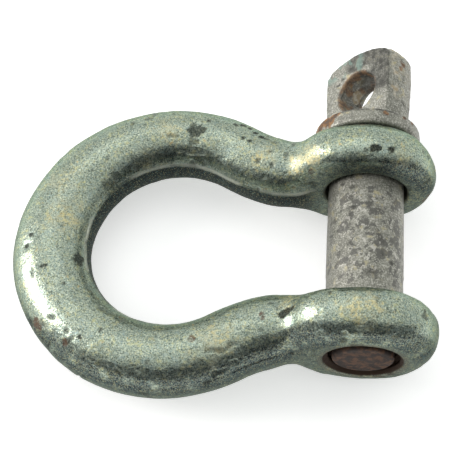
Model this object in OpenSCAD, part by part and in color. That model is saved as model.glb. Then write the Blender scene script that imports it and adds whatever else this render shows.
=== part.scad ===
// Bow shackle with a screw pin: a forged bow whose two ears carry a pin, screwed into one of them.
// The bow lies in the XY plane. The pin runs along Y, with its head towards +Y, and the bow's
// crown lies towards -X. The origin is the middle of the pin, halfway between the ears.

/* [Pin] */
// Diameter of the pin's plain shank
pin_d = 16; // [15.6:0.1:16.8]
// Diameter over the pin's screw thread
thread_d = 15.7; // [15.3:0.1:15.7]
// Advance of the screw thread in one turn
thread_pitch = 2; // [1.75:0.25:2]
// Diameter of the collar that stops against the plain ear
collar_d = 23; // [21:0.2:25]
// Thickness of the collar
collar_t = 3.6; // [2.8:0.2:4.4]
// Diameter of the round that the lug's flats are cut from
lug_d = 19.8; // [19:0.2:21]
// Length of the lug beyond the collar
lug_l = 20.8; // [20:0.2:23]
// Distance between the lug's two flats
lug_t = 8; // [7:0.2:9]
// Diameter of the eye in the lug
eye_d = 9.8; // [8:0.2:10.4]
// Turn of the lug about the pin when it is screwed home, in degrees
lug_turn = 40; // [0:1:180]

/* [Bow] */
// Gap between the ears
jaw = 26.8; // [26:0.2:28]
// Thickness of each ear
ear_t = 11.2; // [10.4:0.2:12]
// Outer diameter of each ear
ear_d = 29.6; // [29:0.2:31]
// Diameter of the plain ear's hole
plain_hole_d = 17.3; // [17:0.1:17.8]
// Thickness of the bow in its own plane, at the middle of the crown
crown_w = 16.4; // [15:0.2:17]
// Thickness of the bow in its own plane, along the legs
leg_w = 14.4; // [13.6:0.2:15]
// Thickness of the bow across its own plane
bow_h = 15.6; // [14.4:0.2:16.4]
// Radius of the crown's centreline
crown_r = 26; // [25:0.5:28]
// Distance from the pin's axis to the centre of the crown
crown_x = 41; // [40:0.5:44]
// Radius of the outward bend from the crown to each leg
bend_r = 30; // [28:1:33]
// Distance from the middle of the bow to each leg's centreline, where it meets its ear
leg_y = 18; // [17.6:0.1:18.4]

/* [Hidden] */
$fn = 96;

steel = [0.62, 0.66, 0.62];
pin_steel = [0.6, 0.59, 0.56];

// ears
ear_r = ear_d / 2;
ear_in = jaw / 2;
ear_out = ear_in + ear_t;
// how far the rounding of an ear's rim reaches in from the rim, and how deep it goes on each face
rim_in = 5.6;
rim_deep_out = ear_t * 0.6;
rim_deep_in = ear_t - rim_deep_out;
rim_in_inner = 4;
mouth = 0.5;

// bow: the crown's arc passes into the outward bend where the two arcs' centres line up
bend_angle = acos((leg_y + bend_r) / (crown_r + bend_r));
bend_x = -crown_x + (crown_r + bend_r) * sin(bend_angle);
bend_y = (crown_r + bend_r) * cos(bend_angle);
neck_x = -20;
neck_angle = asin((bend_x - neck_x) / bend_r);
plane_x = -8;
// how far the ear's outline is drawn out towards the bow, and where the bar flares out to meet it
drawn_out = 1.3;
flare_x = 19;
flare_l = 9;
sides = 32;
crown_steps = 23;
bend_steps = 5;
neck_steps = 15;
ear_steps = 18;

// pin
collar_gap = 0.3;
collar_y = ear_out + collar_gap;
lug_y = collar_y + collar_t;
eye_y = lug_y + 10;
pin_end_y = -ear_out + 0.25;
thread_end_y = -ear_in - 0.1;
blank_end_y = -ear_in + 6.5;
end_r = 6.2;
segments = 36;
thread_depth = 1.25;
thread_crest = 0.25;
flank = tan(30);
core_r = 1.5;
core_gap = 0.1;

function smooth(t) = let (u = min(max(t, 0), 1)) u * u * (3 - 2 * u);
function mix(a, b, t) = a + (b - a) * t;

function ear_x(x) = x < 0 ? x / drawn_out : x;

// depth of the rim's rounding at distance rho from the ear's axis
function rim_drop(rho, reach, deep) =
    let (u = min(max((rho - ear_r + reach) / reach, 0), 1)) deep * (1 - sqrt(1 - u * u));
function outer_face(rho) = ear_out - rim_drop(rho, rim_in, rim_deep_out);
function inner_face(rho) = ear_in + rim_drop(rho, rim_in_inner, rim_deep_in);
function in_ear(x, y, z) =
    let (rho = norm([ear_x(x), z])) rho < ear_r && y < outer_face(rho) && y > inner_face(rho);

// distance from (x, yc) to the ear's skin in direction a of the plane at x
function ear_reach(x, yc, a, low, high, n) =
    let (m = (low + high) / 2)
    n == 0 ? m
    : in_ear(x, yc + m * cos(a), m * sin(a)) ? ear_reach(x, yc, a, m, high, n - 1)
    : ear_reach(x, yc, a, low, m, n - 1);

function ellipse_reach(a, b, t) = a * b / norm([b * cos(t), a * sin(t)]);

// one ring of points, at angle q round the bow's bar; c is its centre and tilt turns its plane
function ring(c, tilt, radii) =
    [for (i = [0 : sides - 1])
        let (q = 360 * i / sides, r = radii[i])
        [c[0] - r * cos(q) * sin(tilt), c[1] + r * cos(q) * cos(tilt), r * sin(q)]];

function bar_radii(a, b) = [for (i = [0 : sides - 1]) ellipse_reach(a, b, 360 * i / sides)];

function crown_ring(t) =
    let (turn = 180 - (90 + bend_angle) * t, a = mix(crown_w, leg_w, smooth(t)) / 2)
    ring([-crown_x + crown_r * cos(turn), crown_r * sin(turn)], 90 + turn - 180,
         bar_radii(a, bow_h / 2));

// the ring's plane turns square to X as the bend straightens out
function bend_ring(t) =
    let (slope = mix(bend_angle, neck_angle, t), tilt = slope * (1 - t))
    ring([bend_x - bend_r * sin(slope), bend_y - bend_r * cos(slope)], -tilt,
         bar_radii(leg_w / 2 / cos(slope - tilt), bow_h / 2));

function bar_y(x) = bend_y - sqrt(bend_r * bend_r - pow(min(x - bend_x, 0), 2));

// half-height of the neck: level with the bar, then up to the ear's outline
function neck_height(x) =
    mix(bow_h / 2, sqrt(max(ear_r * ear_r - pow(ear_x(x), 2), 0)), smooth((x + flare_x) / flare_l));

function oval_reach(a, b, t, p) = pow(pow(abs(cos(t)) / a, p) + pow(abs(sin(t)) / b, p), -1 / p);

// square rings from the neck to the tip of the ear, where the bar flows into the ear
function ear_ring(x) =
    let (
        rho = min(abs(ear_x(x)), ear_r),
        middle = (outer_face(rho) + inner_face(rho)) / 2,
        into = smooth((x + 19.5) / 10),
        slope = asin(min(max(bend_x - x, 0) / bend_r, 1)),
        yc = mix(bar_y(x), middle, smooth((x + 15) / 8)),
        a = mix(leg_w / 2 / cos(slope), ear_t / 2, into),
        b = neck_height(x),
        share = smooth((x + 14.5) / 6)
    )
    ring([x, yc], 0,
        [for (i = [0 : sides - 1])
            let (
                q = 360 * i / sides,
                ear = share > 0 ? ear_reach(x, yc, q, 0, ear_r + 1, 16) : 0,
                bar = share < 1 ? oval_reach(a, b, q, mix(2, 2.4, into)) : 0
            )
            mix(bar, ear, share)]);

ear_from = asin(plane_x / ear_r);
half_rings = concat(
    [for (i = [1 : crown_steps]) crown_ring(i / crown_steps)],
    [for (i = [1 : bend_steps]) bend_ring(i / bend_steps)],
    [for (i = [1 : neck_steps]) ear_ring(mix(neck_x, plane_x, i / neck_steps))],
    [for (i = [1 : ear_steps]) ear_ring(ear_r * sin(mix(ear_from, 87.5, i / ear_steps)))]
);
half_count = len(half_rings);

function flip(r) = [for (p = r) [p[0], -p[1], p[2]]];

rings = concat(
    [for (i = [half_count - 1 : -1 : 0]) flip(half_rings[i])],
    [crown_ring(0)],
    half_rings
);
ring_count = len(rings);
tip_y = ear_out - rim_deep_out;

module bow_skin() {
    points = concat([for (r = rings) each r], [[ear_r, -tip_y, 0], [ear_r, tip_y, 0]]);
    first = ring_count * sides;
    last = (ring_count - 1) * sides;
    faces = concat(
        [for (j = [0 : ring_count - 2]) for (i = [0 : sides - 1])
            let (a = j * sides + i, b = j * sides + (i + 1) % sides)
            each [[a, a + sides, b], [b, a + sides, b + sides]]],
        [for (i = [0 : sides - 1]) [first, i, (i + 1) % sides]],
        [for (i = [0 : sides - 1]) [first + 1, last + (i + 1) % sides, last + i]]
    );
    polyhedron(points, faces);
}

// revolves a profile of [radius, y] points about the pin's axis
module turned(profile) {
    rotate([-90, 0, 0])
        mirror([0, 1, 0])
            rotate_extrude() polygon(profile);
}

// a helical rib round a solid core, along Y: r is the crest's radius and grow widens the rib
module helix(r, depth, grow, y_low, turns) {
    crest = thread_crest + grow;
    foot = crest + 2 * depth * flank;
    profile = [[r - depth, -foot / 2], [r, -crest / 2], [r, crest / 2], [r - depth, foot / 2]];
    steps = segments * turns;
    points = concat(
        [for (k = [0 : steps]) for (p = profile)
            let (q = 360 * k / segments + 3.7)
            [p[0] * sin(q), y_low + thread_pitch * k / segments + p[1], p[0] * cos(q)]],
        [[0, y_low - thread_pitch / 2, 0],
         [0, y_low + thread_pitch * (turns + 0.5), 0]]
    );
    n = 4 * (steps + 1);
    top = 4 * steps;
    turn = 4 * segments;
    faces = concat(
        [for (k = [0 : steps - 1]) for (m = [0 : 2])
            let (a = 4 * k + m)
            each [[a, a + 1, a + 4], [a + 1, a + 5, a + 4]]],
        [for (k = [0 : steps - segments - 1])
            let (a = 4 * k + 3, b = 4 * k + turn)
            each [[a, b, a + 4], [b, b + 4, a + 4]]],
        [for (k = [0 : segments - 1]) [n, 4 * k, 4 * k + 4]],
        [for (m = [0 : 2]) [n, m + 1, m]],
        [[n, turn, 3]],
        [for (k = [steps - segments : steps - 1]) [n + 1, 4 * k + 7, 4 * k + 3]],
        [for (m = [0 : 2]) [n + 1, top + m, top + m + 1]],
        [[n + 1, top - turn + 3, top]]
    );
    polyhedron(points, faces);
}

thread_r = thread_d / 2;
bore_r = thread_r + 0.25;
helix_low = -ear_out - 3;

// the ear's inside thread, with running clearance round the pin's
module ear_thread() {
    bore_depth = bore_r - (thread_r - thread_depth + 0.32);
    helix(bore_r, bore_depth, 0.28 - 2 * 0.25 * flank, helix_low, 9);
}

// chamfered mouth of the threaded hole; y is the ear's face and s points into the ear
module thread_mouth(y, s) {
    r = bore_r + 0.1;
    turned([[0, y - 3.5 * s], [r + 3.5, y - 3.5 * s], [r, y], [r - 1.8, y + 1.8 * s],
            [0, y + 1.8 * s]]);
}

module plain_hole() {
    r = plain_hole_d / 2;
    turned([[0, ear_in - 2], [r + mouth + 2, ear_in - 2], [r + mouth, ear_in],
            [r, ear_in + mouth], [r, ear_out - mouth / 2], [r + mouth / 2, ear_out],
            [r + mouth / 2, ear_out + 2], [0, ear_out + 2]]);
}

module bow_body() {
    color(steel)
        difference() {
            bow_skin();
            plain_hole();
            ear_thread();
            thread_mouth(-ear_out, 1);
            thread_mouth(-ear_in, -1);
        }
}

// plain shank, running out to the thread, and the collar
module shank() {
    r = pin_d / 2;
    blank = thread_r + 0.05;
    k = collar_d / 2;
    turned([[0, thread_end_y], [blank - 0.6, thread_end_y], [blank, thread_end_y + 0.6],
            [blank, blank_end_y], [r, blank_end_y + 0.4], [r, collar_y], [k - 0.5, collar_y],
            [k, collar_y + 0.5], [k, lug_y - 0.35], [k - 0.35, lug_y], [0, lug_y]]);
}

module threaded_end() {
    intersection() {
        helix(thread_r, thread_depth, 0, helix_low, 7);
        turned([[0, pin_end_y], [end_r - 0.4, pin_end_y], [end_r, pin_end_y + 0.4],
                [end_r, pin_end_y + 2.4], [end_r + 2.6, pin_end_y + 5],
                [end_r + 2.6, thread_end_y + 1], [0, thread_end_y + 1]]);
    }
}

// a round boss with two flats and a domed top, pierced by the eye
module lug() {
    r = lug_d / 2;
    base = r - 0.7;
    dome_r = 15.5;
    corner = 1.2;
    dome = [for (i = [0 : 6]) let (q = i / 6 * (r - corner))
        [q, lug_y + lug_l - q * q / (2 * dome_r)]];
    edge = lug_y + lug_l - pow(r - corner, 2) / (2 * dome_r) - 1.2 * corner;
    rotate([0, -lug_turn, 0])
        difference() {
            intersection() {
                turned(concat([[0, lug_y - 1], [base, lug_y - 1], [base, lug_y + 1],
                               [r, lug_y + lug_l / 2], [r, edge]],
                              [for (i = [6 : -1 : 0]) dome[i]]));
                translate([-r - 1, lug_y - 2, -lug_t / 2]) cube([2 * r + 2, lug_l + 4, lug_t]);
            }
            translate([0, eye_y, 0]) eye_cut();
        }
}

module eye_cut() {
    ease = 0.5;
    h = lug_t / 2;
    rotate_extrude()
        polygon([[0, -h - 1], [eye_d / 2 + ease, -h - 1], [eye_d / 2 + ease, -h],
                 [eye_d / 2, -h + ease], [eye_d / 2, h - ease], [eye_d / 2 + ease, h],
                 [eye_d / 2 + ease, h + 1], [0, h + 1]]);
}

module screw_pin() {
    color(pin_steel)
        difference() {
            union() {
                shank();
                threaded_end();
                lug();
            }
            turned([[0, -6 - core_gap], [core_r + core_gap, -6 - core_gap],
                    [core_r + core_gap, 6 + core_gap], [0, 6 + core_gap]]);
        }
}

// slim rod sealed in the pin's own steel; it travels with the pin and doesn't turn
module pin_core() {
    color(pin_steel)
        turned([[0, -6], [core_r, -6], [core_r, 6], [0, 6]]);
}

bow_body();
screw_pin();
pin_core();
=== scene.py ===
import math

import bmesh
import bpy
import numpy as np
from mathutils import Matrix, Vector


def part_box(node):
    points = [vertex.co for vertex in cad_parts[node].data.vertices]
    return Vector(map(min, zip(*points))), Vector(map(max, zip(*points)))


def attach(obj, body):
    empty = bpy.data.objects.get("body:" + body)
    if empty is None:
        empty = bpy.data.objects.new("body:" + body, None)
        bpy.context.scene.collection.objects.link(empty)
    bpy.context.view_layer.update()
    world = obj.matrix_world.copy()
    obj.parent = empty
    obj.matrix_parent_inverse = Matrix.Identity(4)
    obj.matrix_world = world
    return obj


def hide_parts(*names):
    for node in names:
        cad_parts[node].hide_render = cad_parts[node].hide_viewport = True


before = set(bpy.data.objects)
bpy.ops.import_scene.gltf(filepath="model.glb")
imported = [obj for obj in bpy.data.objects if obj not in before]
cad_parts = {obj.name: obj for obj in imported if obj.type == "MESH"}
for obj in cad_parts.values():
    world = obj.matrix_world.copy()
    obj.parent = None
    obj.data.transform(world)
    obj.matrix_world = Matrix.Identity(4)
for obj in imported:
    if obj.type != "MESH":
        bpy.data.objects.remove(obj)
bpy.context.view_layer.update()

MM = 0.001

# ---- the shackle's own measures, in metres: its boxes, and the design's values ----
BOW_LOW, BOW_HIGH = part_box("bow_body")
PIN_LOW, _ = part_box("screw_pin")
EAR_R = BOW_HIGH.x
BAR_R = 7.8 * MM  # half the bow's thickness, square to its plane
PIN_R = 8.0 * MM
EAR_IN = 13.4 * MM
EAR_OUT = -PIN_LOW.y + 0.25 * MM
CROWN_X = -41 * MM  # the crown's centre
COLLAR_TOP = 28.5 * MM
COLLAR_R = 11.5 * MM
LUG_TURN = math.radians(40)
EYE_Y = 38.5 * MM
EYE_R = 4.9 * MM
FLAT = 4.0 * MM  # from the lug's middle to each of its flats
# at rest the shackle lies on its ears and its crown
REST_TILT = math.asin((EAR_R - BAR_R) / (-BOW_LOW.x - BAR_R))
UP = Vector((math.sin(REST_TILT), 0, math.cos(REST_TILT)))


# ---- seeded noise on points ----
def lattice(cells, seed):
    """A repeatable value from -1 to 1 for each whole-number cell."""
    # large odd numbers scatter the cell's three indices and the seed
    h = cells[..., 0] * 374761393 + cells[..., 1] * 668265263 + cells[..., 2] * 2147483647
    h = (h + seed * 974711) & 0xFFFFFFFF
    h = ((h ^ (h >> 13)) * 1274126177) & 0xFFFFFFFF
    h = ((h ^ (h >> 16)) * 2246822519) & 0xFFFFFFFF
    return (h & 0xFFFFFF) / float(0x7FFFFF) - 1.0


def noise(points, size, seed):
    """Smooth noise from -1 to 1 whose bumps are about size metres wide."""
    p = points / size + 37.3
    whole = np.floor(p).astype(np.int64)
    f = p - whole
    f = f * f * f * (f * (f * 6 - 15) + 10)
    total = 0.0
    for i in (0, 1):
        for j in (0, 1):
            for k in (0, 1):
                corner = lattice(whole + np.array([i, j, k]), seed)
                share = (f[:, 0] if i else 1 - f[:, 0]) * (f[:, 1] if j else 1 - f[:, 1])
                total = total + corner * share * (f[:, 2] if k else 1 - f[:, 2])
    return total


def layered(points, size, seed, layers=3):
    """Noise with finer and weaker layers on top."""
    return sum(noise(points, size / 2**n, seed + n) / 2**n for n in range(layers))


def step(x, low, high):
    """Rises smoothly from 0 at low to 1 at high."""
    t = np.clip((x - low) / (high - low), 0, 1)
    return t * t * (3 - 2 * t)


# ---- meshes ----
def points_of(mesh):
    co = np.empty(len(mesh.vertices) * 3)
    mesh.vertices.foreach_get("co", co)
    return co.reshape(-1, 3)


def normals_of(mesh):
    no = np.empty(len(mesh.vertices) * 3)
    mesh.vertices.foreach_get("normal", no)
    return no.reshape(-1, 3)


def set_points(mesh, points):
    mesh.vertices.foreach_set("co", points.astype(np.float32).ravel())
    mesh.update()


def store(mesh, name, values):
    layer = mesh.attributes.new(name, "FLOAT", "POINT")
    layer.data.foreach_set("value", np.clip(values, 0, 1).astype(np.float32))


def applied(obj):
    """Turns obj's modifiers into its mesh."""
    graph = bpy.context.evaluated_depsgraph_get()
    made = bpy.data.meshes.new_from_object(obj.evaluated_get(graph))
    old = obj.data
    obj.modifiers.clear()
    obj.vertex_groups.clear()
    obj.data = made
    bpy.data.meshes.remove(old)


def dense_copy(node, name, voxel):
    """A new object with a CAD node's shape, remade from small even faces."""
    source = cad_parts[node].data
    bm = bmesh.new()
    bm.from_mesh(source)
    bmesh.ops.remove_doubles(bm, verts=bm.verts, dist=1e-6)
    mesh = bpy.data.meshes.new(name)
    bm.to_mesh(mesh)
    bm.free()
    obj = bpy.data.objects.new(name, mesh)
    bpy.context.scene.collection.objects.link(obj)
    remesh = obj.modifiers.new("remesh", "REMESH")
    remesh.mode = "VOXEL"
    remesh.voxel_size = voxel
    applied(obj)
    return obj


def relax(obj, weights, rounds):
    """Smooths obj's mesh by its vertices' weights."""
    group = obj.vertex_groups.new(name="relax")
    levels = np.round(np.clip(weights, 0, 1) * 10).astype(int)
    for level in range(1, 11):
        group.add(np.flatnonzero(levels == level).tolist(), level / 10, "REPLACE")
    smooth = obj.modifiers.new("relax", "SMOOTH")
    smooth.factor = 0.5
    smooth.iterations = rounds
    smooth.vertex_group = group.name
    applied(obj)


def shade_round(mesh):
    mesh.polygons.foreach_set("use_smooth", np.ones(len(mesh.polygons), dtype=bool))


def dents(points, spots):
    """How far each point sinks under round dents given as (place, radius, depth) in mm."""
    sink = np.zeros(len(points))
    for place, radius, depth in spots:
        away = np.linalg.norm(points - np.array(place) * MM, axis=1) / (radius * MM)
        sink += depth * MM * np.exp(-(away**2) * 1.5)
    return sink


def patch(points, spots, seed, edge=0.3):
    """A ragged mask, from 0 to 1, round each (place, radius, strength) in mm."""
    mask = np.zeros(len(points))
    ragged = layered(points, 1.2 * MM, seed)
    for place, radius, strength in spots:
        away = np.linalg.norm(points - np.array(place) * MM, axis=1) / (radius * MM)
        mask = np.maximum(mask, strength * step(1.15 - away + 0.6 * ragged, 0, edge))
    return mask


# ---- the bow ----
BOW_VOXEL = 0.32 * MM
BAND = 2.4 * MM
BAND_HEIGHT = 0.2 * MM
SWELL = 0.03 * MM
POCK_DEPTH = 0.16 * MM
# distances from the pin's axis between which each zone begins or ends
EAR_RIM = (9.6 * MM, 11.5 * MM)
SKIN = (8.9 * MM, 10.2 * MM)
PLAIN_HOLE = (8.7 * MM, 9.3 * MM)
THREADED_HOLE = (7.9 * MM, 8.3 * MM)
# marks: (place in mm, radius in mm, depth in mm or strength)
CROWN_PITS = [((-70.5, -3.9, 6.9), 1.0, 0.25), ((-66.3, -8.9, 7.7), 0.8, 0.2),
              ((-61.0, -12.5, 7.4), 1.2, 0.25)]
LEG_PITS = [((-36.8, 24.7, 7.7), 1.6, 0.15), ((-14.9, -17.9, 8.5), 1.0, 0.15)]
EAR_CHIP = [((3.5, 16.6, 14.1), 1.1, 0.2)]
BOW_PITS = CROWN_PITS + LEG_PITS + EAR_CHIP
CROWN_DARK = [((-59.7, -5.4, 4.6), 1.4, 0.95), ((-70.5, -3.9, 6.9), 0.5, 0.9),
              ((-69.8, -1.5, 7.3), 0.5, 0.9), ((-66.3, -8.9, 7.7), 0.5, 0.9),
              ((-65.6, -8.7, 7.8), 0.4, 0.9), ((-61.0, -12.5, 7.4), 0.5, 0.9),
              ((-59.2, -24.7, 6.2), 0.9, 0.9), ((-56.1, -24.2, 7.3), 0.5, 0.9),
              ((-55.9, 12.5, 4.5), 0.9, 0.6), ((-51.9, -22.7, 7.7), 0.5, 0.7)]
UPPER_LEG_DARK = [((-37.4, 24.5, 7.7), 1.3, 0.85), ((-36.1, 24.9, 7.7), 1.1, 0.85),
                  ((-34.2, 27.4, 7.4), 0.6, 1.0), ((-28.5, 26.9, 6.7), 0.5, 0.9),
                  ((-27.0, 27.0, 6.1), 0.6, 1.0), ((-25.4, 26.3, 6.0), 0.6, 1.0),
                  ((-24.0, 25.0, 6.4), 0.6, 1.0), ((-22.6, 23.8, 6.7), 0.6, 1.0),
                  ((-26.5, 22.9, 7.7), 0.5, 0.9), ((-25.2, 22.1, 7.7), 0.5, 0.9),
                  ((-20.5, 19.6, 7.8), 0.5, 0.8)]
LOWER_LEG_DARK = [((-15.7, -18.0, 8.0), 0.9, 1.0), ((-14.7, -17.8, 8.6), 0.9, 1.0),
                  ((-13.9, -17.7, 9.3), 0.6, 1.0), ((-47.7, -30.6, 5.5), 0.8, 0.8),
                  ((-41.8, -28.9, 7.2), 0.6, 0.6)]
EAR_DARK = [((1.7, 16.4, 14.4), 0.8, 1.0), ((2.3, 16.6, 14.3), 0.6, 1.0),
            ((4.9, 16.6, 13.7), 0.8, 1.0), ((-0.3, 15.9, 14.3), 0.5, 0.7),
            ((1.3, -22.5, 13.0), 1.0, 0.8), ((-0.2, -23.0, 12.6), 0.8, 0.7)]
BOW_DARK = CROWN_DARK + UPPER_LEG_DARK + LOWER_LEG_DARK + EAR_DARK
BOW_RUST = [((-11.5, 14.0, 8.6), 0.7, 1.0), ((-66.5, -20.6, 4.0), 1.2, 0.8),
            ((-59.2, -25.0, 6.0), 0.7, 0.7), ((-20.2, -18.2, 7.7), 0.6, 0.9),
            ((-19.6, -19.1, 7.8), 0.5, 0.8), ((-33.3, -23.8, 7.7), 0.6, 0.9),
            ((12.6, 14.1, -2.9), 1.2, 0.8), ((13.2, 14.4, -1.6), 0.8, 0.7),
            ((-0.9, 23.4, 12.1), 0.7, 0.9)]
# golden tint patches: partly the zinc's own passivation tint, partly a painted highlight where light
# falls on the bow
BOW_TINT_AND_HIGHLIGHT = [((-11.7, 16.0, 10.9), 3.5, 1.0), ((-14.5, 15.6, 8.2), 3.0, 1.0),
              ((-0.7, -18.4, 14.6), 5.0, 0.8), ((-28.7, -25.0, 7.5), 5.0, 0.7),
              ((-22.2, 18.6, 7.7), 3.5, 0.8), ((-63.1, 3.6, 7.0), 5.0, 0.6),
              ((-65.5, 11.8, 7.7), 4.0, 0.5), ((-47.1, 19.0, 4.6), 4.0, 0.5),
              ((-14.5, -15.2, 8.0), 3.0, 0.7), ((6.8, 15.1, 11.9), 3.0, 0.5),
              ((-66.5, -20.6, 4.0), 3.0, 0.5), ((-42.7, 24.8, 7.7), 4.0, 0.5)]


def from_pin_axis(p):
    return np.hypot(p[:, 0], p[:, 2])


def bow_relief(p, skin, band_edge, pock):
    """How far the forging stands out: the worn parting band, waves, ripples, pocks and dents."""
    band = 1 - step(np.abs(p[:, 2]), band_edge, band_edge + 0.25 * MM)
    out = SWELL * skin
    out += skin * BAND_HEIGHT * band * (0.8 + 0.5 * noise(p, 14 * MM, 4))
    out += skin * 0.16 * MM * layered(p, 16 * MM, 5, 2)
    out += skin * 0.05 * MM * layered(p, 2.6 * MM, 8, 3)
    out -= skin * POCK_DEPTH * pock
    return out - dents(p, BOW_PITS)


def painted_dark_band(p, n):
    """1 on the shoulders that face -Y along the threaded side, the plain ear and the crown: where a
    painted dark reflection lays a ragged band of shade.
    """
    high = n @ np.array(UP)
    shoulder = step(high, -0.05, 0.15) * (1 - step(high, 0.55, 0.8)) * step(-n[:, 1], 0.3, 0.6)
    x, y = p[:, 0] / MM, p[:, 1] / MM
    threaded_side = step(-y, 13, 19)
    plain_ear = step(x, -9, -3) * step(y, 10, 13)
    crown = 0.8 * step(-x, 32, 38) * step(y, 5, 14)
    zones = np.maximum.reduce([threaded_side, plain_ear, crown])
    return shoulder * zones * step(layered(p, 2.5 * MM, 18), -1.1, -0.1)


def facing_inside(p, n):
    """1 where the surface faces the bow's opening."""
    towards = np.stack([np.clip(p[:, 0], CROWN_X, 0) - p[:, 0], -p[:, 1]], axis=1)
    towards /= np.maximum(np.linalg.norm(towards, axis=1), 1e-9)[:, None]
    in_crown_or_legs = 1 - step(p[:, 0], -14 * MM, -9 * MM)
    return step((n[:, :2] * towards).sum(axis=1), 0.35, 0.75) * in_crown_or_legs


def flank_of(n):
    """1 where the surface faces sideways or down, 0 where it faces up: the mask for painted shade on
    sides and undersides.
    """
    return 1 - step(n @ np.array(UP), 0.0, 0.6)


def store_bow_marks(mesh, p, n, skin, band_edge, pock):
    """What the zinc's material reads: where it is scarred, rusty or tinted, and where shade, a dark
    reflection and a highlight are painted.
    """
    axis_r = from_pin_axis(p)
    plain_hole = 1 - step(axis_r, *PLAIN_HOLE)
    inside = skin * facing_inside(p, n)
    # the line along the parting band's upper edge, where a highlight is painted
    ridge_highlight = np.exp(-(((p[:, 2] - band_edge - 0.2 * MM) / (0.25 * MM)) ** 2))
    store(mesh, "pits", np.maximum(0.6 * pock, patch(p, BOW_DARK, 31)))
    store(mesh, "rust", np.maximum(patch(p, BOW_RUST, 41), 0.35 * plain_hole))
    # mask for the tapped thread's rust, partly painted shade down the bore
    store(mesh, "hole", (1 - step(axis_r, *THREADED_HOLE)) * (p[:, 1] < 0))
    # mask of golden patches, partly a painted highlight
    store(mesh, "yellow", patch(p, BOW_TINT_AND_HIGHLIGHT, 43, 1.2))
    # mask for painted shade on faces that turn sideways or down
    store(mesh, "flank", flank_of(n))
    # mask for the painted dark reflection band on the -Y shoulders
    store(mesh, "dark_band", skin * painted_dark_band(p, n))
    # mask for painted shade on faces towards the bow's opening, below the parting band's edge
    store(mesh, "inner_shade", inside * (1 - step(p[:, 2], band_edge - 0.3 * MM, band_edge)))
    store(mesh, "ridge_highlight", inside * ridge_highlight * step(noise(p, 4 * MM, 16), -0.6, 0.2))


def make_bow():
    obj = dense_copy("bow_body", "bow_forging", BOW_VOXEL)
    p = points_of(obj.data)
    relax(obj, step(from_pin_axis(p), *EAR_RIM), 60)
    relax(obj, np.ones(len(p)), 2)
    mesh = obj.data
    p, n = points_of(mesh), normals_of(mesh)
    skin = step(from_pin_axis(p), *SKIN)
    band_edge = BAND + 0.3 * MM * noise(p, 9 * MM, 3)
    pock = step(noise(p, 1.5 * MM, 14) + 0.35 * noise(p, 6 * MM, 15), 0.62, 0.95)
    set_points(mesh, p + n * bow_relief(p, skin, band_edge, pock)[:, None])
    shade_round(mesh)
    store_bow_marks(mesh, p, n, skin, band_edge, pock)
    return obj


# ---- the pin ----
PIN_VOXEL = 0.24 * MM
PIN_PITS = [((7.6, 42.9, 6.4), 1.0, 0.15)]
PIN_DARK = [((1.3, -8.5, 7.8), 1.5, 0.8), ((-4.0, -2.2, 6.9), 2.4, 0.5),
            ((3.0, 0.0, 7.4), 2.0, 0.5), ((1.3, 6.7, 7.9), 2.0, 0.4),
            ((-3.2, 4.5, 7.3), 1.6, 0.5)]
COLLAR_RUST = [((-10.2, 26.8, 5.4), 1.8, 0.95), ((-8.8, 26.8, 7.4), 1.6, 0.95),
               ((-8.0, 27.2, 8.3), 1.3, 0.9), ((-6.7, 28.0, 9.3), 0.9, 0.8),
               ((3.7, 27.4, 11.0), 0.6, 0.9), ((7.9, 27.8, 8.3), 0.6, 0.9),
               ((9.5, 27.8, 6.5), 0.5, 0.8)]
LUG_RUST = [((7.8, 43.1, 6.1), 0.8, 0.9), ((7.2, 42.0, 6.9), 0.5, 0.7)]
PIN_RUST = COLLAR_RUST + LUG_RUST
EYE_SCALE = [((-2.4, 41.0, -3.7), 1.5, 1.0)]


class PinZones:
    """Where each part of the pin is, as masks from 0 to 1 over its points."""

    def __init__(self, p):
        # across the flats' width, along the pin, and square to the flats
        self.across = p[:, 0] * math.cos(LUG_TURN) + p[:, 2] * math.sin(LUG_TURN)
        self.along = p[:, 1]
        self.square = -p[:, 0] * math.sin(LUG_TURN) + p[:, 2] * math.cos(LUG_TURN)
        self.head = step(self.along, EAR_OUT, EAR_OUT + 2 * MM)
        self.lug = step(self.along, EAR_OUT + 4 * MM, EAR_OUT + 5 * MM)
        from_eye = np.hypot(self.across, self.along - EYE_Y)
        self.eye = (1 - step(from_eye, EYE_R + 0.2 * MM, EYE_R + 0.9 * MM)) * self.lug
        off_flats = 1 - step(np.abs(self.square), FLAT - 1.3 * MM, FLAT - 0.2 * MM)
        self.side = self.lug * off_flats * (1 - self.eye)
        self.flat = self.lug * step(np.abs(self.square), FLAT - 0.4 * MM, FLAT - 0.1 * MM)
        self.pock = step(noise(p, 1.3 * MM, 25) + 0.4 * noise(p, 5 * MM, 26), 0.6, 0.95)


def past_thread(p):
    """0 on the threaded end, 1 on the rest of the pin."""
    return step(p[:, 1], -14.6 * MM, -13.0 * MM)


def pin_relief(p, zone):
    """How far the pin's surface stands out: soft waves, pocks, and a rougher head."""
    out = 0.05 * MM * layered(p, 7 * MM, 21, 2)
    out += 0.018 * MM * layered(p, 1.2 * MM, 22, 2)
    out -= (0.05 + 0.12 * zone.head) * MM * zone.pock
    out += zone.head * 0.07 * MM * layered(p, 3.5 * MM, 28, 3)
    out += zone.side * 0.14 * MM * layered(p, 1.1 * MM, 72, 3)
    out += zone.eye * 0.08 * MM * layered(p, 1.4 * MM, 73, 2)
    return out - dents(p, PIN_PITS)


def lug_crust(p, zone):
    """Pale crust on the lug's sides, thickest along one edge, and a patch in its eye."""
    edge = step(zone.square + 0.8 * MM * layered(p, 2 * MM, 70), 0.8 * MM, 2.2 * MM)
    flakes = step(layered(p, 1.3 * MM, 71), -0.1, 0.4) * step(zone.along, 33 * MM, 35 * MM)
    crust = zone.side * (0.25 + 0.75 * edge) * flakes
    return np.maximum(crust, patch(p, EYE_SCALE, 74) * zone.eye)


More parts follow.
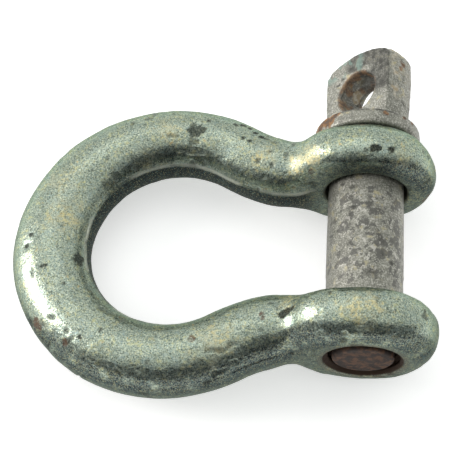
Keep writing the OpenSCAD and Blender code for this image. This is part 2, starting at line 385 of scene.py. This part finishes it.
def lug_smoke(zone, ragged):
    """The flats' dark part, beside the eye and beyond it."""
    across, along = zone.across + ragged, zone.along + ragged
    beside = step(across, 3.2 * MM, 4.6 * MM) * step(along, 34.5 * MM, 37 * MM)
    beyond = step(along, 43.6 * MM, 45 * MM) * step(across, -4 * MM, -1 * MM)
    return zone.flat * np.maximum(beside, beyond)


def lug_green(p, zone, ragged):
    """The flats' greenish patches, near the lug's tip."""
    green = zone.flat * step(zone.along + ragged, 43 * MM, 45 * MM)
    green *= 1 - step(zone.across, 0.5 * MM, 2.5 * MM)
    return green * step(layered(p, 1.5 * MM, 78), -0.1, 0.35)


def collar_rim_shade(p, zone):
    """A broken line of painted shade round the collar's outer edge."""
    line = step(from_pin_axis(p), COLLAR_R - 0.9 * MM, COLLAR_R - 0.4 * MM)
    line *= step(zone.along, COLLAR_TOP - 0.85 * MM, COLLAR_TOP - 0.55 * MM)
    return line * step(layered(p, 1.5 * MM, 79), -0.7, 0.0)


def shank_wear(p, zone):
    """Where the plain shank is worn, most on its upper side and in its middle."""
    shank = 1 - step(np.abs(zone.along), EAR_IN - 1 * MM, EAR_IN)
    facing = step(p[:, 2] / PIN_R + 0.25 * p[:, 0] / PIN_R, 0.35, 0.9)
    middle = 1 - step(np.abs(zone.along - 1 * MM), 7 * MM, 11 * MM)
    return shank * (0.35 + 0.65 * facing * middle)


def end_rust_and_root_shade(p, zone):
    """The pin's end face and the roots of its thread: dark rust, deepening into painted shade towards
    the roots.
    """
    end = 1 - step(zone.along, PIN_LOW.y + 0.6 * MM, PIN_LOW.y + 1.4 * MM)
    roots = (1 - past_thread(p)) * step(PIN_R - from_pin_axis(p), 0.2 * MM, 0.9 * MM)
    return np.maximum(end, roots)


def store_pin_marks(mesh, p, n, zone):
    """What the pin's material reads: where it is scarred, rusty, crusted, tinted or worn, and where
    shade is painted.
    """
    ragged = 0.6 * MM * layered(p, 2 * MM, 76)
    crust = lug_crust(p, zone)
    smoke = lug_smoke(zone, ragged)
    scale = patch(p, EYE_SCALE, 74)
    eye_rust = zone.eye * step(layered(p, 2 * MM, 77), -0.2, 0.5) * (1 - scale)
    # 0.6 of the eye's mask is painted shade inside the lug's eye; the collar's rim line is painted
    # shade too
    marks = [0.8 * zone.pock, patch(p, PIN_DARK, 51, 1.0), smoke, collar_rim_shade(p, zone), 0.6 * zone.eye]
    store(mesh, "pits", np.maximum.reduce(marks) * (1 - crust))
    store(mesh, "green", lug_green(p, zone, ragged))
    store(mesh, "rust", np.maximum(patch(p, PIN_RUST, 61), 0.6 * eye_rust))
    # the end's rust and the painted shade at the thread's roots
    store(mesh, "hole", end_rust_and_root_shade(p, zone))
    store(mesh, "wear", shank_wear(p, zone))
    store(mesh, "crust", crust)
    # mask for painted shade on the pin's sides and undersides
    store(mesh, "flank", flank_of(n))


def make_pin():
    obj = dense_copy("screw_pin", "pin_forging", PIN_VOXEL)
    p = points_of(obj.data)
    relax(obj, past_thread(p), 10)
    relax(obj, np.ones(len(p)), 1)
    mesh = obj.data
    p, n = points_of(mesh), normals_of(mesh)
    zone = PinZones(p)
    set_points(mesh, p + n * pin_relief(p, zone)[:, None])
    shade_round(mesh)
    store_pin_marks(mesh, p, n, zone)
    return obj


# ---- materials ----
class Shader:
    """Adds nodes to a material's tree and links them."""

    def __init__(self, name):
        self.mat = bpy.data.materials.new(name)
        self.mat.use_nodes = True
        self.tree = self.mat.node_tree
        self.bsdf = self.tree.nodes["Principled BSDF"]
        self.place = self.add("ShaderNodeTexCoord").outputs["Object"]

    def add(self, kind, **settings):
        node = self.tree.nodes.new(kind)
        for key, value in settings.items():
            setattr(node, key, value)
        return node

    def put(self, socket, value):
        if isinstance(value, bpy.types.NodeSocket):
            self.tree.links.new(value, socket)
        else:
            socket.default_value = value

    def attribute(self, name):
        return self.add("ShaderNodeAttribute", attribute_name=name).outputs["Fac"]

    def noise(self, size, detail=3.0, rough=0.55, shift=0.0):
        node = self.add("ShaderNodeTexNoise")
        node.inputs["Scale"].default_value = 1 / size
        node.inputs["Detail"].default_value = detail
        node.inputs["Roughness"].default_value = rough
        if shift:
            move = self.add("ShaderNodeVectorMath", operation="ADD")
            self.put(move.inputs[0], self.place)
            move.inputs[1].default_value = (shift, shift * 0.7, -shift)
            self.put(node.inputs["Vector"], move.outputs[0])
        else:
            self.put(node.inputs["Vector"], self.place)
        return node.outputs["Fac"]

    def ramp(self, value, low, high, to_low=0.0, to_high=1.0):
        node = self.add("ShaderNodeMapRange", interpolation_type="SMOOTHSTEP")
        self.put(node.inputs["Value"], value)
        node.inputs["From Min"].default_value = low
        node.inputs["From Max"].default_value = high
        node.inputs["To Min"].default_value = to_low
        node.inputs["To Max"].default_value = to_high
        return node.outputs["Result"]

    def maths(self, operation, a, b):
        node = self.add("ShaderNodeMath", operation=operation)
        self.put(node.inputs[0], a)
        self.put(node.inputs[1], b)
        return node.outputs[0]

    def times(self, a, b):
        return self.maths("MULTIPLY", a, b)

    def most(self, a, b):
        return self.maths("MAXIMUM", a, b)

    def mix(self, factor, a, b):
        node = self.add("ShaderNodeMix", data_type="RGBA")
        self.put(node.inputs["Factor"], factor)
        self.put(node.inputs["A"], a if isinstance(a, bpy.types.NodeSocket) else (*a, 1))
        self.put(node.inputs["B"], b if isinstance(b, bpy.types.NodeSocket) else (*b, 1))
        return node.outputs["Result"]

    def bump(self, height, distance, strength, below=None):
        node = self.add("ShaderNodeBump")
        node.inputs["Strength"].default_value = strength
        node.inputs["Distance"].default_value = distance
        self.put(node.inputs["Height"], height)
        if below is not None:
            self.put(node.inputs["Normal"], below)
        return node.outputs["Normal"]


# colours of the zinc on the bow
ZINC = ((0.315, 0.375, 0.315), (0.38, 0.45, 0.375))
ZINC_BRIGHT = (0.68, 0.74, 0.58)
ZINC_DARK = (0.07, 0.09, 0.07)
YELLOW = (0.72, 0.70, 0.34)
# golden tint, partly a painted highlight
GOLD_TINT_AND_HIGHLIGHT = (0.86, 0.72, 0.36)
ORANGE = (0.62, 0.34, 0.16)
BLUE = (0.36, 0.48, 0.50)
# painted shade: the dark colour laid on faces that turn sideways or down
SIDE_SHADE = (0.055, 0.068, 0.06)
# painted dark reflection: the blue-black band of shade on the shoulders that face -Y
DARK_BAND = (0.026, 0.033, 0.044)
# painted shade: the near-black laid on faces that turn towards the bow's opening
INNER_SHADE = (0.022, 0.03, 0.032)
# painted highlight: the pale line along the parting band's upper edge
PARTING_HIGHLIGHT = (0.80, 0.82, 0.72)
SPECK_YELLOW = (0.66, 0.62, 0.34)
SPECK_GREEN = (0.22, 0.40, 0.36)
SCAR = (0.02, 0.022, 0.018)
RUST = (0.12, 0.055, 0.035)
# dark brown of the tapped thread in the bow: rust, partly painted shade down the threaded bore
THREAD = (0.045, 0.028, 0.02)
GLANCING = (0.32, 0.39, 0.33)


def zinc_tints(s, grain, tint):
    """The zinc's own colour: grey-green, grainy, with yellow, orange and blue in it, and golden
    patches that are partly a painted highlight.
    """
    clouds = s.noise(6 * MM, 3.0, 0.6, 0.02)
    warm = s.noise(3 * MM, 3.0, 0.6, 0.09)
    base = s.mix(s.ramp(clouds, 0.35, 0.65), *ZINC)
    base = s.mix(s.ramp(grain, 0.52, 0.68), base, ZINC_BRIGHT)
    base = s.mix(s.ramp(grain, 0.48, 0.36, 0.0, 0.8), base, ZINC_DARK)
    yellow = s.times(s.ramp(tint, 0.50, 0.64), s.ramp(warm, 0.40, 0.60))
    base = s.mix(s.times(yellow, 0.5), base, YELLOW)
    # golden patches: partly the zinc's tint, partly a painted highlight
    gold_and_highlight = s.times(s.attribute("yellow"), s.ramp(tint, 0.40, 0.62, 0.1, 0.75))
    base = s.mix(gold_and_highlight, base, GOLD_TINT_AND_HIGHLIGHT)
    fleck = s.ramp(s.noise(0.8 * MM, 2.0, 0.6, 0.13), 0.58, 0.70)
    base = s.mix(s.times(s.times(fleck, yellow), 0.6), base, ORANGE)
    blue = s.times(s.ramp(warm, 0.52, 0.36), s.ramp(tint, 0.48, 0.62))
    return s.mix(s.times(blue, 0.35), base, BLUE)


def zinc_specks(s, base):
    """Fine yellow and green specks."""
    yellow = s.ramp(s.noise(0.28 * MM, 1.0, 0.5, 0.41), 0.58, 0.68)
    base = s.mix(s.times(yellow, 0.35), base, SPECK_YELLOW)
    green = s.ramp(s.noise(0.28 * MM, 1.0, 0.5, 0.47), 0.58, 0.68)
    return s.mix(s.times(green, 0.3), base, SPECK_GREEN)


def zinc_steel():
    """Worn, passivated zinc on a forging: tinted, with scars and small rust, and with painted shade on
    its sides, undersides and faces towards the bow's opening, a painted dark reflection band and a
    painted highlight along the parting line.
    """
    s = Shader("zinc_steel")
    grain = s.noise(0.30 * MM, 2.0, 0.6)
    tint = s.noise(0.8 * MM, 3.0, 0.65, 0.05)
    base = zinc_tints(s, grain, tint)
    # painted shade on the sides and undersides, from the mask of faces that turn away from up
    flank = s.times(s.attribute("flank"), s.ramp(tint, 0.35, 0.65, 0.9, 0.6))
    base = s.mix(flank, base, SIDE_SHADE)
    # painted dark reflection band on the shoulders that face -Y
    dark_band = s.times(s.attribute("dark_band"), s.ramp(grain, 0.35, 0.6, 0.95, 0.6))
    base = s.mix(dark_band, base, DARK_BAND)
    # painted shade on faces that turn towards the bow's opening, below the parting band's edge
    inner_shade = s.times(s.attribute("inner_shade"), s.ramp(tint, 0.35, 0.65, 1.0, 0.88))
    base = s.mix(inner_shade, base, INNER_SHADE)
    # painted highlight along the parting band's upper edge, on faces towards the bow's opening
    base = s.mix(s.times(s.attribute("ridge_highlight"), 0.9), base, PARTING_HIGHLIGHT)
    base = zinc_specks(s, base)
    pits = s.times(s.attribute("pits"), s.ramp(grain, 0.3, 0.6, 1.0, 0.85))
    base = s.mix(pits, base, SCAR)
    rust = s.times(s.attribute("rust"), s.ramp(tint, 0.35, 0.55, 0.3, 0.9))
    base = s.mix(rust, base, RUST)
    # rust and painted shade on the tapped thread
    hole = s.attribute("hole")
    s.put(s.bsdf.inputs["Base Color"], s.mix(hole, base, THREAD))
    dull = s.most(s.most(s.most(rust, hole), pits), inner_shade)
    zinc_finish(s, grain, tint, s.most(dull, s.times(flank, 0.6)))
    return s.mat


def zinc_finish(s, grain, tint, dull):
    """How the zinc shines, and its fine relief."""
    s.put(s.bsdf.inputs["Metallic"], s.maths("SUBTRACT", 0.94, s.times(dull, 0.85)))
    s.put(s.bsdf.inputs["Specular IOR Level"], s.ramp(dull, 0.0, 1.0, 0.5, 0.15))
    s.bsdf.inputs["Specular Tint"].default_value = (*GLANCING, 1)
    rough = s.ramp(tint, 0.35, 0.65, 0.27, 0.38)
    rough = s.maths("ADD", rough, s.times(dull, 0.35))
    rough = s.maths("ADD", rough, s.times(s.attribute("yellow"), 0.2))
    s.put(s.bsdf.inputs["Roughness"], rough)
    fine = s.bump(grain, 0.08 * MM, 0.45)
    ragged = s.noise(0.8 * MM, 2.0, 0.5, 0.21)
    s.put(s.bsdf.inputs["Normal"], s.bump(ragged, 0.2 * MM, 0.4, fine))


# colours of the worn zinc on the pin
WORN_ZINC = ((0.245, 0.243, 0.208), (0.32, 0.317, 0.272))
WORN_BRIGHT = (0.54, 0.53, 0.47)
WORN_DARK = (0.12, 0.115, 0.10)
CREAM = (0.62, 0.54, 0.30)
# painted shade: the dark colour laid on the pin's faces that turn sideways or down
PIN_SIDE_SHADE = (0.10, 0.098, 0.088)
BARE = (0.12, 0.118, 0.108)
FLAKE = (0.62, 0.60, 0.54)
# dark for pocks, blotches and the flats' smoke, and for painted shade round the collar's rim and
# inside the lug's eye
SMOKE_AND_SHADE = (0.045, 0.044, 0.038)
GREEN = (0.26, 0.38, 0.33)
CRUST = ((0.46, 0.37, 0.24), (0.64, 0.60, 0.50))
SCAB = ((0.10, 0.05, 0.028), (0.36, 0.19, 0.08))
# dark rust on the pin's end, deepening into painted shade at the thread's roots
END_RUST_AND_SHADE = ((0.028, 0.018, 0.013), (0.105, 0.05, 0.026))


def worn_zinc(s, grain, clouds, tint):
    """The pin's own colour: warm grey, grainy, worn through in blotches on the shank."""
    base = s.mix(s.ramp(clouds, 0.38, 0.62), *WORN_ZINC)
    base = s.mix(s.ramp(grain, 0.50, 0.68), base, WORN_BRIGHT)
    base = s.mix(s.ramp(grain, 0.48, 0.30, 0.0, 0.6), base, WORN_DARK)
    yellow = s.times(s.ramp(tint, 0.54, 0.67), s.ramp(clouds, 0.45, 0.6))
    base = s.mix(s.times(yellow, 0.5), base, CREAM)
    # painted shade on the pin's sides and undersides
    base = s.mix(s.times(s.attribute("flank"), 0.5), base, PIN_SIDE_SHADE)
    wear = s.attribute("wear")
    bare = s.maths("ADD", s.noise(1.9 * MM, 5.0, 0.62, 0.23), s.times(wear, 0.09))
    bare = s.times(s.ramp(bare, 0.60, 0.63), s.ramp(wear, 0.1, 0.4))
    base = s.mix(s.times(bare, 0.8), base, BARE)
    flakes = s.times(s.ramp(s.noise(1.1 * MM, 3.0, 0.6, 0.31), 0.60, 0.63), wear)
    return s.mix(s.times(flakes, 0.7), base, FLAKE)


def pin_steel():
    """Zinc worn thin on the pin, smoked and crusted on the lug, rusty on the collar and the end, with
    painted shade on its sides, round the collar's rim, in the lug's eye and towards the thread's
    roots.
    """
    s = Shader("pin_steel")
    grain = s.noise(0.34 * MM, 2.0, 0.6)
    clouds = s.noise(4 * MM, 3.0, 0.6, 0.03)
    tint = s.noise(1.6 * MM, 3.0, 0.6, 0.06)
    base = worn_zinc(s, grain, clouds, tint)
    # this darkening also carries the painted shade round the collar's rim and inside the lug's eye
    scarred = s.times(s.attribute("pits"), s.ramp(tint, 0.35, 0.6, 1.0, 0.6))
    base = s.mix(s.times(scarred, 0.9), base, SMOKE_AND_SHADE)
    base = s.mix(s.times(s.attribute("green"), 0.55), base, GREEN)
    crust = s.attribute("crust")
    scale = s.mix(s.ramp(s.noise(1.1 * MM, 3.0, 0.65, 0.17), 0.42, 0.60), *CRUST)
    base = s.mix(s.times(crust, 0.85), base, scale)
    rust = s.times(s.attribute("rust"), s.ramp(tint, 0.35, 0.5, 0.85, 1.0))
    base = s.mix(rust, base, s.mix(s.ramp(tint, 0.38, 0.60), *SCAB))
    # rust on the pin's end and painted shade at the thread's roots
    hole = s.attribute("hole")
    base = s.mix(hole, base, s.mix(s.ramp(tint, 0.42, 0.62), *END_RUST_AND_SHADE))
    s.put(s.bsdf.inputs["Base Color"], base)
    dull = s.most(s.most(rust, hole), crust)
    s.put(s.bsdf.inputs["Metallic"], s.maths("SUBTRACT", 0.65, s.times(dull, 0.6)))
    rough = s.ramp(clouds, 0.3, 0.7, 0.44, 0.54)
    s.put(s.bsdf.inputs["Roughness"], s.maths("ADD", rough, s.times(dull, 0.35)))
    fine = s.bump(grain, 0.10 * MM, 0.6)
    s.put(s.bsdf.inputs["Normal"], s.bump(tint, 0.2 * MM, 0.3, fine))
    return s.mat


def dress(obj, material):
    obj.data.materials.clear()
    obj.data.materials.append(material)


def plain_material(name, colour, rough):
    mat = bpy.data.materials.new(name)
    mat.use_nodes = True
    bsdf = mat.node_tree.nodes["Principled BSDF"]
    bsdf.inputs["Base Color"].default_value = (*colour, 1)
    bsdf.inputs["Roughness"].default_value = rough
    return mat


# ---- the setting ----
FLOOR_SIZE = 3.0
FLOOR_GLOW = 0.48
LIT_MIDDLE = (-0.03, 0, 0)
TOP_LIGHT = 0.6
LEFT_LIGHT = 4.0
SKY = 0.84
# the sky's brightness: how it grows with each direction, and what it comes to
SKY_MIDDLE, SKY_BACK, SKY_UP, SKY_WIDE = 0.5, 0.31, 0.38, 0.12
SKY_STOPS = [(0.0, 0.01), (0.555, 0.012), (0.60, 0.3), (0.66, 0.85), (0.80, 1.0)]
# the camera
ELEVATION, AZIMUTH, ROLL = (math.radians(a) for a in (61.0, 15.86, -12.9))
DISTANCE = 230 * MM
TARGET = Vector((-29.93, 5.6, 0)) * MM
LENS, SENSOR = 85.6, 36


def make_floor():
    """The shackle lies on its ears and its crown, so the floor is tilted to its frame."""
    across = Vector((0, 1, 0))
    along = across.cross(UP)
    middle = -UP * (EAR_R + 0.2 * MM)
    corners = [middle + along * (a * FLOOR_SIZE) + across * (b * FLOOR_SIZE)
               for a, b in ((-1, -1), (1, -1), (1, 1), (-1, 1))]
    mesh = bpy.data.meshes.new("floor")
    mesh.from_pydata(corners, [], [(0, 1, 2, 3)])
    white = plain_material("floor_white", (0.96, 0.96, 0.96), 0.9)
    bsdf = white.node_tree.nodes["Principled BSDF"]
    bsdf.inputs["Emission Color"].default_value = (1, 1, 1, 1)
    bsdf.inputs["Emission Strength"].default_value = FLOOR_GLOW
    mesh.materials.append(white)
    floor = bpy.data.objects.new("floor", mesh)
    bpy.context.scene.collection.objects.link(floor)


def turned_to(direction, up):
    """A rotation whose -Z looks along direction, with up as near to Y as it can be."""
    z = -direction.normalized()
    x = up.cross(z).normalized()
    return Matrix((x, z.cross(x), z)).transposed().to_4x4()


def soft_box(name, place, target, size, power, colour=(1, 1, 1)):
    light = bpy.data.lights.new(name, "AREA")
    light.shape = "RECTANGLE"
    light.size, light.size_y = size
    light.energy = power
    light.color = colour
    obj = bpy.data.objects.new(name, light)
    place, target = Vector(place), Vector(target)
    obj.matrix_world = Matrix.Translation(place) @ turned_to(target - place, Vector((0, 0.1, 1)))
    bpy.context.scene.collection.objects.link(obj)


def world_maths(tree, operation, *values):
    node = tree.nodes.new("ShaderNodeMath")
    node.operation = operation
    for socket, value in zip(node.inputs, values):
        if isinstance(value, bpy.types.NodeSocket):
            tree.links.new(value, socket)
        else:
            socket.default_value = value
    return node.outputs[0]


def make_world():
    """A white tent: bright above and behind, dark low down on the camera's side."""
    world = bpy.data.worlds.new("studio")
    world.use_nodes = True
    tree = world.node_tree
    sky = tree.nodes["Background"]
    way = tree.nodes.new("ShaderNodeTexCoord")
    parts = tree.nodes.new("ShaderNodeSeparateXYZ")
    tree.links.new(way.outputs["Generated"], parts.inputs[0])
    back = world_maths(tree, "MULTIPLY_ADD", parts.outputs["Y"], SKY_BACK, SKY_MIDDLE)
    high = world_maths(tree, "MULTIPLY_ADD", parts.outputs["Z"], SKY_UP, back)
    wide = world_maths(tree, "ABSOLUTE", parts.outputs["X"])
    bright = world_maths(tree, "MULTIPLY_ADD", wide, SKY_WIDE, high)
    ramp = tree.nodes.new("ShaderNodeValToRGB")
    tree.links.new(bright, ramp.inputs["Fac"])
    for at, _ in SKY_STOPS[1:-1]:
        ramp.color_ramp.elements.new(at)
    for stop, (at, level) in zip(ramp.color_ramp.elements, SKY_STOPS):
        stop.position = at
        stop.color = (level * 0.98, level + 0.004, level * 0.97 + 0.016, 1)
    tree.links.new(ramp.outputs["Color"], sky.inputs["Color"])
    sky.inputs["Strength"].default_value = SKY
    bpy.context.scene.world = world
    bpy.context.scene.view_settings.view_transform = "Standard"


def make_lights():
    soft_box("top_light", (-0.15, 0.35, 0.85), LIT_MIDDLE, (0.7, 0.5), TOP_LIGHT)
    soft_box("left_light", (-0.8, 0.02, 0.4), LIT_MIDDLE, (0.3, 0.45), LEFT_LIGHT, (1, 0.96, 0.96))
    make_world()


def make_camera():
    """A close view from high up, on the crown's near side."""
    back = Vector((math.sin(AZIMUTH) * math.cos(ELEVATION),
                   -math.cos(AZIMUTH) * math.cos(ELEVATION), math.sin(ELEVATION)))
    right = Vector((math.cos(AZIMUTH), math.sin(AZIMUTH), 0))
    up = right.cross(-back)
    x = right * math.cos(ROLL) + up * math.sin(ROLL)
    y = up * math.cos(ROLL) - right * math.sin(ROLL)
    cam = bpy.data.cameras.new("camera")
    cam.sensor_width = SENSOR
    cam.lens = LENS
    cam.clip_start = 0.01
    obj = bpy.data.objects.new("camera", cam)
    obj.matrix_world = (Matrix.Translation(TARGET + back * DISTANCE)
                        @ Matrix((x, y, back)).transposed().to_4x4())
    bpy.context.scene.collection.objects.link(obj)
    bpy.context.scene.camera = obj


make_camera()
make_floor()
make_lights()

bow = make_bow()
dress(bow, zinc_steel())
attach(bow, "shackle_body")
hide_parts("bow_body")

pin = make_pin()
dress(pin, pin_steel())
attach(pin, "pin")
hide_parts("screw_pin", "pin_core")
